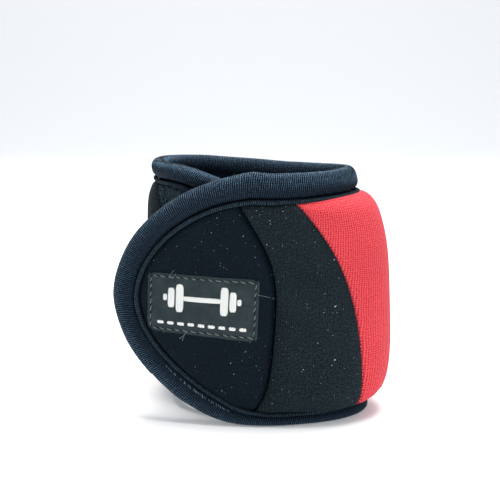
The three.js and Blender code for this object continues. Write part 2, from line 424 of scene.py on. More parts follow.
def face_out(s, z):
    """How far out the panels' faces stand at flat places, from the nearest points of them."""
    points = np.concatenate(FACES)
    low, high = np.min(s) - NEAR.within, np.max(s) + NEAR.within
    points = points[(points[:, 0] > low) & (points[:, 0] < high)]
    away = (np.ravel(s)[:, None] - points[:, 0]) ** 2 + (np.ravel(z)[:, None] - points[:, 2]) ** 2
    nearest = np.argpartition(away, NEAR.count, axis=1)[:, :NEAR.count]
    weight = 1 / (np.take_along_axis(away, nearest, 1) + NEAR.soft)
    return ((weight * points[nearest, 1]).sum(1) / weight.sum(1)).reshape(np.shape(s))


def cover_face(s, z):
    """The place (out, z) of the padded cover's face over a flat place."""
    end = pad_end(z)
    return PANEL.face + pad_bulge(s, z, end), z + overhang(s, z, end)


def pad_bulge(s, z, end):
    """The height of the bulge over the shot bags; end is the seam where it stops."""
    height = np.clip(abs(z - MIDDLE) / PANEL.half_height, 0, 1)
    power = np.where(z > MIDDLE, PAD.top_power, PAD.bottom_power)
    cross = (1 - height**power) ** PAD.edge
    ends = smoothstep(PAD.start, PAD.start + PAD.rise, s)
    ends = ends * smoothstep(PAD.fall_to, PAD.fall, end - s)
    from_inner = np.clip(s - seam_loop(z), 0, None)
    lip = PAD.lip * (1 - np.exp(-np.clip(end - s, 0, None) / PAD.lip_width))
    inner = 1 - np.exp(-from_inner / PAD.inner_width)
    lip = lip + PAD.inner_lip * inner * (1 - smoothstep(PAD.inner_from, PAD.inner_to, s))
    full = PAD.bulge + PAD.back * bump(s, PAD.back_at, PAD.back_width)
    return cross * (full * ends + lip * inner)


def overhang(s, z, end):
    """How far the overfilled pad's face hangs over its top and bottom seams."""
    height = np.clip(abs(z - MIDDLE) / PANEL.half_height, 0, 1)
    ends = smoothstep(OVERHANG.start, OVERHANG.end, s)
    ends = ends * smoothstep(OVERHANG.fall_to, OVERHANG.fall, end - s)
    share = OVERHANG.full * height**8 * (1 - height) ** 0.35 * ends
    return np.where(z > MIDDLE, OVERHANG.top, -OVERHANG.bottom) * share


def spread(width, near=(0, 0.25, 0.6, 1.1, 1.8, 2.8, 4.2), step=1.6):
    """Distances across a panel, closer together near its seams, as functions of each row's width."""
    middle = max(2, int(width.max() / step))
    share = (np.arange(1, middle) / middle)[None, :]
    left = np.array(near)[None, :] + 0 * width[:, None]
    inner = near[-1] + (width[:, None] - 2 * near[-1]) * share
    return np.concatenate([left, inner, width[:, None] - left[:, ::-1]], 1)


def panel(left, right, dips, padded, rows=60, gap=0.1):
    """A thin foam-backed panel between two lines across the strap. dips are the depth and width of the
    groove along its left seam, its right seam and its top and bottom seams."""
    z_rows = MIDDLE + PANEL.half_height * crowded(rows + 1)
    first, last = left(z_rows) + gap, right(z_rows) - gap
    s = first[:, None] + spread(last - first)
    z = z_rows[:, None] + 0 * s
    distances = s - first[:, None], last[:, None] - s, PANEL.half_height - abs(z - MIDDLE)
    groove = sum(depth * bump(away, 0, width) for away, (depth, width) in zip(distances, dips))
    out = PANEL.face - groove
    under = out - PANEL.thickness
    inner_z = z + 0
    if padded:
        end = pad_end(z)
        bulge = pad_bulge(s, z, end)
        z = z + overhang(s, z, end)
        out = out + bulge
        under = under + UNDER_SHARE * bulge
        inner_z = MIDDLE + (inner_z - MIDDLE) * UNDER_HEIGHT
    outer = np.stack([s, out, z], -1)
    outer = outer + puffed(outer, PUFF["padded" if padded else "flat"])
    FACES.append(outer.reshape(-1, 3))
    inner = np.stack([s, under, inner_z], -1)
    return shell(outer, inner, np.stack([s, inner_z], -1))


# ---- Sweeps along the strap's edge ----
RIM_INSET = 3.0  # the line along which lengths along the edge are measured
TURN_INSET = 5.0  # the line along which stations are spaced round the ends
OUTGROWTH = 0.5  # how far a swollen edge may pass the strap's tips; it never passes its straight edges


def edge_stations(spacing=1.5):
    """Stations round the strap's edge, each (s, direction, reach, lift), and the length along it."""
    turn = np.linspace(-math.pi / 2, math.pi / 2, 801)
    reach = np.clip(np.cos(turn), 0, 1) ** (2 / END_POWER)
    lift = np.sign(turn) * abs(np.sin(turn)) ** (2 / END_POWER)
    steps = np.hypot(np.diff(reach) * (END_LENGTH - TURN_INSET), np.diff(lift) * (MIDDLE - TURN_INSET))
    run = np.concatenate([[0], np.cumsum(steps)])
    even = np.linspace(0, run[-1], int(run[-1] / spacing) + 1)[1:-1]
    reach, lift = np.interp(even, run, reach), np.interp(even, run, lift)
    marks = [END_LENGTH, *CUTS, LENGTH - END_LENGTH]
    parts = [np.linspace(a, b, max(1, round((b - a) / spacing)), endpoint=False)
             for a, b in zip(marks, marks[1:])]
    straight = np.concatenate([*parts, [marks[-1]]])
    stations = [(s, 0, 0, -1) for s in straight]
    stations += [(marks[-1], 1, r, h) for r, h in zip(reach, lift)]
    stations += [(s, 0, 0, 1) for s in straight[::-1]]
    stations += [(marks[0], -1, r, h) for r, h in zip(reach[::-1], lift[::-1])]
    stations = np.array(stations, float)
    rim = edge_points(stations, RIM_INSET)
    steps = np.linalg.norm(np.roll(rim, -1, 0) - rim, axis=1)
    return stations, np.concatenate([[0], np.cumsum(steps)])


def edge_points(stations, inset):
    """The flat places (s, z) of stations, inset from the strap's edge."""
    s, direction, reach, lift = stations.T
    return np.column_stack([s + direction * (END_LENGTH - inset) * reach,
                            MIDDLE + (MIDDLE - inset) * lift])


def sweep(section, spacing, relief, swell=None):
    """A closed ring round the strap's edge, ribbed across by scaling every other station. section is
    (inset, out) points, and swell(stations, along) scales them about their middle."""
    stations, along = edge_stations(spacing)
    count, sides = len(stations), len(section)
    middle = section.mean(0)
    scale = np.ones(count) if swell is None else swell(stations, along[:-1])
    scale = scale + relief * (-1.0) ** np.arange(count)
    points = np.empty((count, sides, 3))
    least = -OUTGROWTH * stations[:, 2]
    for k, corner in enumerate(section):
        inset = middle[0] + (corner[0] - middle[0]) * scale
        place = edge_points(stations, np.maximum(inset, least))
        out = middle[1] + (corner[1] - middle[1]) * scale
        points[:, k] = np.column_stack([place[:, 0], out, place[:, 1]])
    sides_long = np.linalg.norm(np.roll(section, -1, 0) - section, axis=1)
    around = np.concatenate([[0], np.cumsum(sides_long)])
    faces, cloth = [], []
    for i in range(count):
        here, there = i * spacing, (i + 1) * spacing
        for k in range(sides):
            j, m = (i + 1) % count, (k + 1) % sides
            faces.append((i * sides + k, j * sides + k, j * sides + m, i * sides + m))
            low, high = around[k], around[k + 1]
            cloth.append([(here, low), (there, low), (there, high), (here, high)])
    return Flat(points.reshape(-1, 3), faces, cloth)


def superellipse(centre, half, power, count):
    turn = np.arange(count) * 2 * math.pi / count
    c, s = np.cos(turn), np.sin(turn)
    return np.column_stack([
        centre[0] + half[0] * np.sign(c) * abs(c) ** (2 / power),
        centre[1] + half[1] * np.sign(s) * abs(s) ** (2 / power),
    ])


# ---- Materials ----
class Material:
    """A node material: node() adds one, and scaled(), wave() and so on return its output."""

    def __init__(self, name, roughness, sheen=0.0, specular=0.1):
        self.material = CLOTHS[name] = bpy.data.materials.new(name)
        self.material.use_nodes = True
        self.tree = self.material.node_tree
        self.shader = self.tree.nodes["Principled BSDF"]
        self.set(self.shader, {"Roughness": roughness, "Sheen Weight": sheen, "Sheen Roughness": 0.5,
                               "Sheen Tint": (0.45, 0.75, 1.0, 1.0), "Specular IOR Level": specular})
        cloth = self.node("ShaderNodeUVMap", uv_map="Cloth")
        self.cloth = cloth.outputs["UV"]
        split = self.node("ShaderNodeSeparateXYZ", {"Vector": self.cloth})
        self.along, self.up = split.outputs["X"], split.outputs["Y"]

    def set(self, node, values):
        for name, value in values.items():
            if isinstance(value, bpy.types.NodeSocket):
                self.tree.links.new(value, node.inputs[name])
            else:
                node.inputs[name].default_value = value

    def node(self, kind, values=None, **settings):
        made = self.tree.nodes.new(kind)
        for name, value in settings.items():
            setattr(made, name, value)
        self.set(made, values or {})
        return made

    def math(self, operation, first, second=0.0):
        return self.node("ShaderNodeMath", {0: first, 1: second}, operation=operation).outputs[0]

    def wave(self, value, pitch):
        """A wave of the given pitch, from 0 to 1."""
        return self.scaled(self.math("SINE", self.math("MULTIPLY", value, 2 * math.pi / pitch)), 0.5, 0.5)

    def scaled(self, value, by, plus=0.0):
        made = self.node("ShaderNodeMath", {0: value, 1: by, 2: plus}, operation="MULTIPLY_ADD")
        return made.outputs[0]

    def noise(self, size, detail, roughness=0.5, vector=None):
        """Cloudy noise whose features are size millimetres wide, from about 0.3 to 0.7."""
        made = self.node("ShaderNodeTexNoise", {"Vector": vector or self.cloth, "Scale": 1.0 / size,
                                                "Detail": detail, "Roughness": roughness})
        return made.outputs["Fac"]

    def ramp(self, value, low, high):
        made = self.node("ShaderNodeMapRange", {"Value": value, "From Min": low, "From Max": high})
        return made.outputs["Result"]

    def mix(self, factor, first, second, blend="MIX"):
        made = self.node("ShaderNodeMix", data_type="RGBA", blend_type=blend)
        self.set(made, {0: factor, 6: first, 7: second})
        return made.outputs[2]

    def bump(self, height, distance, strength, below=None):
        values = {"Height": height, "Distance": distance * MM, "Strength": strength}
        if below is not None:
            values["Normal"] = below
        return self.node("ShaderNodeBump", values).outputs["Normal"]

    def lint(self, base, shade, cell, size, share):
        """base with round specks of lint, one in a share of the cells; cell and size in millimetres."""
        cells = self.node("ShaderNodeTexVoronoi", {"Vector": self.cloth, "Scale": 1 / cell}, feature="F1")
        draw = self.node("ShaderNodeSeparateColor", {"Color": cells.outputs["Color"]}).outputs
        reach = self.scaled(draw["Green"], 0.65 * size / cell, 0.35 * size / cell)
        near = self.ramp(self.math("SUBTRACT", reach, cells.outputs["Distance"]), 0.0, 0.4 * size / cell)
        chosen = self.math("LESS_THAN", draw["Red"], share)
        bright = self.scaled(draw["Blue"], 0.6, 0.35)
        return self.mix(self.math("MULTIPLY", self.math("MULTIPLY", near, chosen), bright), base, shade)

    def clouded(self, base, size, by):
        """base with slow patches darkened by a share."""
        cloud = self.ramp(self.noise(size, 3.0, 0.55), 0.3, 0.7)
        grey = self.scaled(cloud, -by, 1.0)
        shade = self.node("ShaderNodeCombineColor", {"Red": grey, "Green": grey, "Blue": grey})
        return self.mix(1.0, base, shade.outputs["Color"], "MULTIPLY")

    def finish(self, base, height, depth, fuzz):
        """Gives the shader its colour and its relief, depth millimetres deep, under a fine fuzz."""
        self.set(self.shader, {"Base Color": base, "Roughness": self.scaled(fuzz, 0.25, 0.68),
                               "Normal": self.bump(height, depth, 0.8, self.bump(fuzz, 0.1, 0.5))})


def colour(*display):
    """A colour given as its 8-bit display values."""
    share = np.array(display) / 255
    linear = np.where(share <= 0.04045, share / 12.92, ((share + 0.055) / 1.055) ** 2.4)
    return (*linear.tolist(), 1.0)


def knit(name, shades, pitch, sheen, depth=0.16, clouds=0.25, fibres=0.5, lint=0.0, wander=1.0):
    """A jersey knit of V-shaped stitches in columns that wander a little. shades are its face's, its
    grooves' and its fuzz's, pitch is its columns' and its rows', fibres the share of the fuzz's shade,
    and lint the share of specks of dust."""
    face, groove, light = (colour(*shade) for shade in shades)
    m = Material(name, 0.82, sheen)
    column = m.math("ADD", m.along, m.scaled(m.noise(9.0, 2.0), wander))
    row = m.math("ADD", m.up, m.scaled(m.noise(8.0, 2.0), wander))
    leg = m.math("ABSOLUTE", m.math("SUBTRACT", m.math("FRACT", m.math("DIVIDE", column, pitch[0])), 0.5))
    stitch = m.wave(m.math("ADD", m.math("MULTIPLY", leg, pitch[1]), row), pitch[1])
    height = m.math("ADD", m.scaled(m.wave(column, pitch[0]), 0.5), m.scaled(stitch, 0.5))
    fuzz = m.noise(0.5, 3.0, 0.7)
    base = m.mix(m.ramp(height, 0.2, 0.85), groove, face)
    base = m.mix(m.scaled(m.ramp(m.noise(0.65, 4.0, 0.8), 0.44, 0.7), fibres), base, light)
    base = m.clouded(base, 14.0, clouds)
    if lint:
        base = m.lint(base, LINT_COLOUR, 1.2, 0.2, lint)
        base = m.lint(base, LINT_COLOUR, 3.6, 0.33, 0.6 * lint)
    m.finish(base, height, depth, fuzz)


def ribbed(name, shades, pitch, rim, worn, slant, sheen):
    """A ribbed knit tape or cord. Its ribs run across it and slant away on both sides of the rim, and its
    rib tips carry a painted highlight near the rim that falls off into painted shade from worn[1] to
    worn[0] millimetres of it; the pair worn gives the reach of that painted highlight."""
    face, groove, light = (colour(*shade) for shade in shades)
    m = Material(name, 0.78, sheen)
    away = m.math("ABSOLUTE", m.math("SUBTRACT", m.up, rim))
    wander = m.scaled(m.noise(2.5, 2.0), 0.9)
    rib = m.wave(m.math("ADD", m.math("ADD", m.along, wander), m.math("MULTIPLY", away, slant)), pitch)
    loops = m.wave(m.math("ADD", m.up, m.scaled(rib, 0.35)), 0.95)
    fuzz = m.noise(0.45, 3.0, 0.7)
    base = m.mix(rib, groove, face)
    # Painted highlight on the rib tips near the rim, falling off into painted shade towards the inner
    # edges
    painted_rim_light = m.scaled(m.ramp(away, worn[0], worn[1]), 0.82, 0.18)
    patches = m.scaled(m.ramp(m.noise(1.3, 4.0, 0.7), 0.36, 0.64), 0.8, 0.2)
    tips = m.math("MULTIPLY", m.math("POWER", rib, 2.5), m.scaled(loops, 0.6, 0.4))
    base = m.mix(m.math("MULTIPLY", tips, m.math("MULTIPLY", painted_rim_light, patches)), base, light)
    base = m.clouded(base, 26.0, 0.25)
    m.finish(base, m.math("MULTIPLY", rib, m.scaled(loops, 0.3, 0.7)), 0.22, fuzz)


def woven(name, shades, pitch, sheen, clouds=0.2, depth=0.08):
    """A woven satin or twill: fine diagonal lines crossed by finer threads."""
    face, groove = (colour(*shade) for shade in shades)
    m = Material(name, 0.6, sheen, 0.25)
    twill = m.wave(m.math("ADD", m.math("MULTIPLY", m.along, 0.75), m.up), pitch)
    height = m.math("ADD", m.scaled(twill, 0.7), m.scaled(m.wave(m.along, pitch * 0.7), 0.3))
    base = m.clouded(m.mix(m.ramp(height, 0.15, 0.75), groove, face), 6.0, clouds)
    m.finish(base, height, depth, m.noise(0.4, 3.0, 0.7))


LINT_COLOUR = colour(176, 184, 180)


def make_cloths():
    """The cloths, with their shades as 8-bit display values."""
    knit("red_knit", ((234, 70, 78), (146, 14, 30), (255, 140, 142)), (0.8, 0.8), 0.04, clouds=0.08,
         fibres=0.3)
    knit("charcoal_knit", ((16, 28, 34), (0, 1, 3), (60, 80, 88)), (0.8, 0.85), 0.02, fibres=0.45,
         lint=0.45, wander=0.7)
    knit("black_knit", ((1, 13, 25), (0, 1, 5), (30, 52, 66)), (0.75, 0.8), 0.015, lint=0.35)
    knit("loop_pile", ((8, 26, 40), (0, 3, 9), (138, 168, 184)), (0.6, 0.6), 0.02, fibres=0.7)
    knit("lining_knit", ((4, 18, 34), (1, 7, 18), (16, 38, 60)), (0.8, 0.8), 0.02)
    knit("loop_fabric", ((4, 22, 38), (0, 3, 10), (90, 118, 132)), (1.5, 1.3), 0.02, depth=0.5,
         fibres=0.8, wander=4.0)
    # The binding's and the piping's rims carry a painted highlight that gives way to painted shade
    # inwards
    ribbed("binding_knit", ((6, 24, 40), (0, 3, 9), (124, 160, 190)), 0.8, 13.2, (8.5, 0.5), 0.12, 0.03)
    ribbed("piping_knit", ((6, 20, 32), (0, 2, 6), (84, 110, 126)), 0.9, 1.5, (2.0, 0.3), 0.5, 0.03)
    # The label's stitches are dark thread: this cloth's dark grooves are their own colour, and its light
    # grey face is a painted highlight
    woven("label_thread", ((140, 150, 148), (10, 14, 18)), 0.6, 0.05)
    woven("thread", ((14, 20, 26), (2, 5, 8)), 0.5, 0.05)
    woven("pale_thread", ((128, 144, 150), (60, 78, 90)), 0.5, 0.05)
    woven("label_satin", ((54, 68, 72), (16, 27, 32)), 0.42, 0.05, clouds=0.5)
    woven("white_thread", ((255, 255, 250), (150, 156, 158)), 0.85, 0.02, clouds=0.04, depth=0.16)
    woven("hook_nylon", ((20, 20, 24), (12, 12, 14)), 1.0, 0.05)
    woven("pocket_fabric", ((60, 60, 62), (40, 40, 42)), 0.9, 0.1)
    woven("shot_bag_film", ((92, 92, 94), (70, 70, 72)), 1.6, 0.0)


# ---- Camera, light and floor, in metres ----
CAMERA = Sizes(place=(-2.34 * MM, -445.0 * MM, 145.3 * MM), down=10.26, lens=75.3, sensor=36.0,
               clip=(0.01, 20.0))
FLOOR = Sizes(front=-1.6, bend=1.2, radius=0.5, top=2.2, half_width=2.0)
AIM = (0.0, 0.0, 0.05)  # where the lights point


def add_camera():
    data = bpy.data.cameras.new("camera")
    data.lens, data.sensor_width = CAMERA.lens, CAMERA.sensor
    data.clip_start, data.clip_end = CAMERA.clip
    camera = show("camera", data)
    camera.location = CAMERA.place
    camera.rotation_euler = (math.radians(90 - CAMERA.down), 0.0, 0.0)
    bpy.context.scene.camera = camera


def add_area(name, place, size, power, tint):
    data = bpy.data.lights.new(name, "AREA")
    data.shape, data.size, data.energy, data.color = "SQUARE", size, power, tint
    light = show(name, data)
    light.location = place
    light.rotation_euler = (Vector(AIM) - Vector(place)).to_track_quat("-Z", "Y").to_euler()


def add_studio():
    world = bpy.data.worlds.new("studio")
    world.use_nodes = True
    background = world.node_tree.nodes["Background"]
    background.inputs["Color"].default_value = (0.94, 0.97, 1.0, 1.0)
    background.inputs["Strength"].default_value = 0.5
    bpy.context.scene.world = world
    bpy.context.scene.view_settings.view_transform = "Standard"
    add_area("key", (0.06, 0.12, 0.95), 0.6, 18.0, (1.0, 0.98, 0.97))
    add_area("fill", (0.45, -1.15, 0.16), 0.5, 5.0, (0.97, 0.99, 1.0))
    bend, radius = FLOOR.bend, FLOOR.radius
    turn = np.linspace(0, math.pi / 2, 13)
    profile = [(FLOOR.front, 0.0), (bend, 0.0)]
    profile += [(bend + radius * math.sin(a), radius - radius * math.cos(a)) for a in turn[1:]]
    profile.append((bend + radius, FLOOR.top))
    points = [(x, y, z) for y, z in profile for x in (-FLOOR.half_width, FLOOR.half_width)]
    faces = [(2 * i, 2 * i + 1, 2 * i + 3, 2 * i + 2) for i in range(len(profile) - 1)]
    floor = show_mesh("floor", points, faces)
    floor.data.shade_smooth()
    paper = Material("floor_paper", 0.7)
    place = paper.node("ShaderNodeTexCoord").outputs["Object"]
    grain = paper.noise(2 * MM, 3.0, 0.5, place)
    base = paper.mix(grain, (0.85, 0.865, 0.87, 1.0), (0.88, 0.89, 0.895, 1.0))
    paper.set(paper.shader, {"Base Color": base, "Emission Color": (0.96, 0.98, 1.0, 1.0),
                             "Emission Strength": 0.18})
    floor.data.materials.append(paper.material)


# ---- Small pieces ----
def on_label(a, b):
    """A place on the label, given from its middle along and up it, on the flat strap."""
    tilt = math.radians(LABEL.tilt)
    return (LABEL.s + a * math.cos(tilt) - b * math.sin(tilt),
            LABEL.z + a * math.sin(tilt) + b * math.cos(tilt))


def label_wave(a, b):
    """The label's slight waviness, pulled in along its stitches."""
    edge = np.minimum(LABEL.half_s - abs(a), LABEL.half_z - abs(b))
    wave = LABEL.wave * np.sin(a / 4.1 + 0.7) * np.sin(b / 3.3)
    wave = wave + LABEL.ripple * np.sin(a / 1.9 + b / 2.3)
    return wave - LABEL.pull * bump(edge, LABEL_STITCH.inset, LABEL.pull_width)


def patch(centre, half, low, high, step, power):
    """A thin patch on the label, from low to high above its underside. step is its grid's, and power
    squares its corners."""
    count = [max(2, int(math.ceil(2 * h / step))) for h in half]
    u, v = np.meshgrid(crowded(count[0] + 1), crowded(count[1] + 1))
    shrink = (1 - 0.5 * abs(v) ** power * abs(u) ** power) ** (2 / power)
    a, b = centre[0] + half[0] * u * shrink, centre[1] + half[1] * v * shrink
    s, z = on_label(a, b)
    base = face_out(s, z) + LABEL.lift + label_wave(a, b)
    rounded = high - 0.35 * (high - low) * np.maximum(abs(u), abs(v)) ** 12
    return slab(s, z, base + rounded, base + low, (a, b))


def stitch(first, last, arch, radius):
    """One stitch of thread between two flat places, its ends sunk into the cloth. arch is its height
    above them."""
    share = np.linspace(0, 1, 6)[:, None]
    path = between(first, last, share)
    path[:, 1] += arch * np.sin(share[:, 0] * math.pi) - radius
    taper = np.array([0.55, 0.9, 1, 1, 0.9, 0.55])
    return tube(path, radius, 6, taper)


LABEL_STITCH = Sizes(inset=1.35, length=2.2, gap=0.7, start=0.12, radius=0.2, slant=0.28, arch=0.5,
                     uneven=0.06, stray=0.07)
# The dark tube beneath the label's stitches is painted shadow along them
LABEL_STITCH_SHADOW = Sizes(sunk=0.02, radius=0.24)
DUMBBELL = [  # (along, half length, half height) of the bar, plates and end caps, from the mark's middle
    (0.0, 8.0, 1.0), (-8.6, 1.5, 5.7), (8.6, 1.5, 5.7), (-11.9, 1.3, 4.0), (11.9, 1.3, 4.0),
    (-14.3, 0.8, 1.3), (14.3, 0.8, 1.3),
]
DUMBBELL_UP = 2.4
DASHES = Sizes(count=9, pitch=4.0, half=1.3, height=0.62, below=-8.0)
# The loose threads on the tab, each from one flat place (s, z) to another
TAILS = [((287.6, 60.4), (285.4, 63.8)), ((286.4, 60.2), (285.0, 62.6)), ((283.0, 35.2), (280.6, 39.6)),
         ((284.2, 36.0), (281.4, 38.8)), ((254.0, 54.9), (251.8, 54.2)), ((251.8, 54.2), (249.2, 53.3))]
TAIL = Sizes(bow=0.35, out=0.25, arch=0.3, radius=0.1)
LINT_LINE = [(-0.8, -0.2), (-0.3, 0.1), (0.2, -0.1), (0.8, 0.2)]  # a speck of size 1
# The larger specks of lint: their flat places (s, z) and sizes
LINT = [(248.2, 52.8, 0.42), (258.6, 33.4, 0.3), (289.0, 22.5, 0.28), (246.4, 60.0, 0.3),
        (268.0, 66.0, 0.22)]


def build_label():
    half = (LABEL.half_s, LABEL.half_z)
    thick = LABEL.thick
    base = patch((0, 0), half, 0.0, thick, 0.7, 14.0)
    low = thick - LABEL.sunk
    hem = (LABEL.hem, half[1] - LABEL.sunk)
    out = half[0] - LABEL.hem_inset
    hems = [patch((at, 0), hem, low, thick + LABEL.hem_rise, 0.7, 12.0) for at in (-out, out)]
    label, = make("label_sheet", join([base, *hems]), "label_satin", {"outer": "woven_label"})
    mark = [patch((a, DUMBBELL_UP), (long, tall), low, thick + LABEL.mark, 0.7, 6.0)
            for a, long, tall in DUMBBELL]
    first = -DASHES.pitch * (DASHES.count - 1) / 2
    mark += [patch((first + DASHES.pitch * i, DASHES.below), (DASHES.half, DASHES.height),
                   low, thick + LABEL.dash, 0.5, 6.0) for i in range(DASHES.count)]
    mark, = make("label_mark", join(mark), "label_satin", cloth="white_thread")
    # The label's stitches, light grey as a painted highlight on their dark thread
    thread, = make("label_stitches", join(label_stitches()), "label_satin", cloth="label_thread")
    # Painted shadow: a dark tube beneath the label's stitches
    under, = make("label_seam", join(label_seam()), "label_satin", cloth="thread")


def build_lint():
    """The loose threads at the label, and the specks of lint caught on the tab."""
    parts = []
    for i, (first, last) in enumerate(TAILS):
        share = np.linspace(0, 1, 7)
        arch = np.sin(share * math.pi)
        s, z = (first[k] + (last[k] - first[k]) * share for k in (0, 1))
        s = s + TAIL.bow * arch * (-1) ** i
        out = face_out(s, z) + (LABEL.thick + TAIL.out + TAIL.arch * arch)
        parts.append(tube(np.column_stack([s, out, z]), TAIL.radius, 5, np.linspace(1, 0.5, 7)))
    for s, z, size in LINT:
        out = float(face_out(s, z)) + 0.25 * size
        path = [(s + a, out, z + b) for a, b in np.array(LINT_LINE) * size]
        parts.append(tube(path, size * 0.75, 6, np.array([0.45, 1, 0.95, 0.4])))
    make("tab_lint", join(parts), "label_satin", cloth="pale_thread")


def label_sides():
    """The two ends of each side of the label's row of stitches."""
    half = (LABEL.half_s - LABEL_STITCH.inset, LABEL.half_z - LABEL_STITCH.inset)
    corners = [(a * half[0], b * half[1]) for a, b in ((-1, -1), (1, -1), (1, 1), (-1, 1))]
    return list(zip(corners, corners[1:] + corners[:1]))


def label_top(a, b):
    """The flat place of the label's face, given from its middle along and up it."""
    s, z = on_label(a, b)
    return s, face_out(s, z) + LABEL.lift + LABEL.thick + label_wave(a, b), z


def label_seam():
    """A dark tube of painted shadow that runs on beneath the label's stitches, in the dark thread's
    cloth.
    """
    parts = []
    for first, last in label_sides():
        share = np.linspace(0, 1, 40)[:, None]
        s, out, z = label_top(*between(first, last, share).T)
        parts.append(tube(np.column_stack([s, out - LABEL_STITCH_SHADOW.sunk, z]), LABEL_STITCH_SHADOW.radius, 5))
    return parts


def label_stitches():
    """The running stitch round the label, a little uneven and slanting."""
    pitch = LABEL_STITCH.length + LABEL_STITCH.gap
    share = LABEL_STITCH.start, LABEL_STITCH.start + LABEL_STITCH.length / pitch
    draw = np.random.default_rng(5)
    parts = []
    for first, last in label_sides():
        run = math.dist(first, last)
        count = int(run / pitch)
        for i in range(count):
            ends = (i + np.array(share)) / count + draw.normal(0, LABEL_STITCH.uneven / count, 2)
            turned = LABEL_STITCH.slant * np.array([first[1] - last[1], last[0] - first[0]]) / run
            places = [between(first, last, end) + draw.normal(0, LABEL_STITCH.stray, 2) + turned * side
                      for end, side in zip(np.clip(ends, 0, 1), (-1, 1))]
            s, out, z = label_top(*np.array(places).T)
            parts.append(stitch(*zip(s, out, z), LABEL_STITCH.arch, LABEL_STITCH.radius))
    return parts


# The seam stitches' dark thread is painted shade: it stands for the shadow line along the red panel's
# seams
SEAM_STITCH = Sizes(half=38.0, pitch=1.2, lean=0.2, reach=0.32, sunk=0.42, arch=0.16, radius=0.13)


def build_seam_stitches():
    """Dark zigzag stitches sunk in the red panel's two seams with the charcoal ones, whose dark thread
    paints the shadow line along these seams.
    """
    for name, seam in (("outer_seam_stitches", seam_red_outer), ("inner_seam_stitches", seam_red_inner)):
        parts = []
        low, high = MIDDLE - SEAM_STITCH.half, MIDDLE + SEAM_STITCH.half
        for i, z in enumerate(np.arange(low, high, SEAM_STITCH.pitch)):
            ends = []
            for side in (-1, 1):
                place_z = z + side * SEAM_STITCH.lean * (-1) ** i
                s = seam(place_z) + SEAM_STITCH.reach * side
                out, up = cover_face(s, place_z)
                ends.append((float(s), float(out) - SEAM_STITCH.sunk, float(up)))
            parts.append(stitch(*ends, SEAM_STITCH.arch, SEAM_STITCH.radius))
        make(name, join(parts), "charcoal_knit", cloth="thread")


LINING_STITCH = Sizes(inset=0.4, sunk=0.1, pitch=3.6, length=2.5, arch=-0.4, radius=0.24)


def build_lining_stitches():
    """The running stitch that shows inside the cuff, where the piping is sewn on."""
    stations, along = edge_stations()
    line = edge_points(stations, PIPING.inset + LINING_STITCH.inset)
    closed = np.concatenate([line, line[:1]])

    def place(at):
        s, z = (float(np.interp(at, along, column)) for column in closed.T)
        return s, LINING.low + LINING_STITCH.sunk, z

    starts = np.arange(0, along[-1] - LINING_STITCH.pitch, LINING_STITCH.pitch)
    parts = [stitch(place(at), place(at + LINING_STITCH.length), LINING_STITCH.arch,
                    LINING_STITCH.radius) for at in starts]
    for part in parts:
        part.points[:, 1] += LINING_STITCH.radius
    make("lining_stitches", join(parts), "lining_knit", cloth="thread")


HOOKS = Sizes(inset=1.6, pitch=1.55, row=1.5, row_inset=1.4, shift=0.7, margin=1.0, radius=0.13)
HOOK_BEND = [(0.0, 0.0), (0.0, 0.55), (0.15, 0.8), (0.42, 0.72)]  # one hook: along the strap and down


def build_hooks():
    """The hook tape inside the outer end: a thin sheet and rows of small hooks."""
    long, half, out = HOOK.end - HOOK.start, HOOK.half_height, HOOK.out
    s, z = np.meshgrid(np.linspace(HOOK.start, HOOK.end, 29), np.linspace(-1, 1, 27) * half + MIDDLE)
    tape = slab(s, z, out + HOOK.high, out - HOOK.low)
    tape, = make("hook_tape_sheet", tape, "hook_nylon", {"outer": "hook_tape"})
    parts = []
    columns = np.arange(HOOK.start + HOOKS.inset, HOOK.end - HOOKS.margin, HOOKS.pitch)
    for i, at in enumerate(columns):
        way = 1 if i % 2 else -1
        first = -half + HOOKS.row_inset + HOOKS.shift * (i % 2)
        for up in np.arange(first, half - HOOKS.margin, HOOKS.row):
            path = [(at + along * way, out - down, MIDDLE + up) for along, down in HOOK_BEND]
            parts.append(tube(path, HOOKS.radius, 4))
    hooks, = make("hooks", join(parts), "hook_nylon")


def declare_sheets(sheets, first, last, area):
    for sheet in sheets:
        stretch = STRETCHES.index(sheet.name.split("_")[-1])
        low, high = max(first, [first, *CUTS][stretch]), min(last, [*CUTS, last][stretch])
        area(low, high) * MM * MM


BAGS = Sizes(count=6, start=93.0, pitch=25.5, apart=1.2, last=240.0, half_height=34.0, low=0.9,
             gap=0.5, rim=0.35, least=0.5, narrowed=0.04, shortened=0.03)
POCKET = Sizes(start=94.0, end=244.0, half_height=36.0, high=0.6, low=0.1)


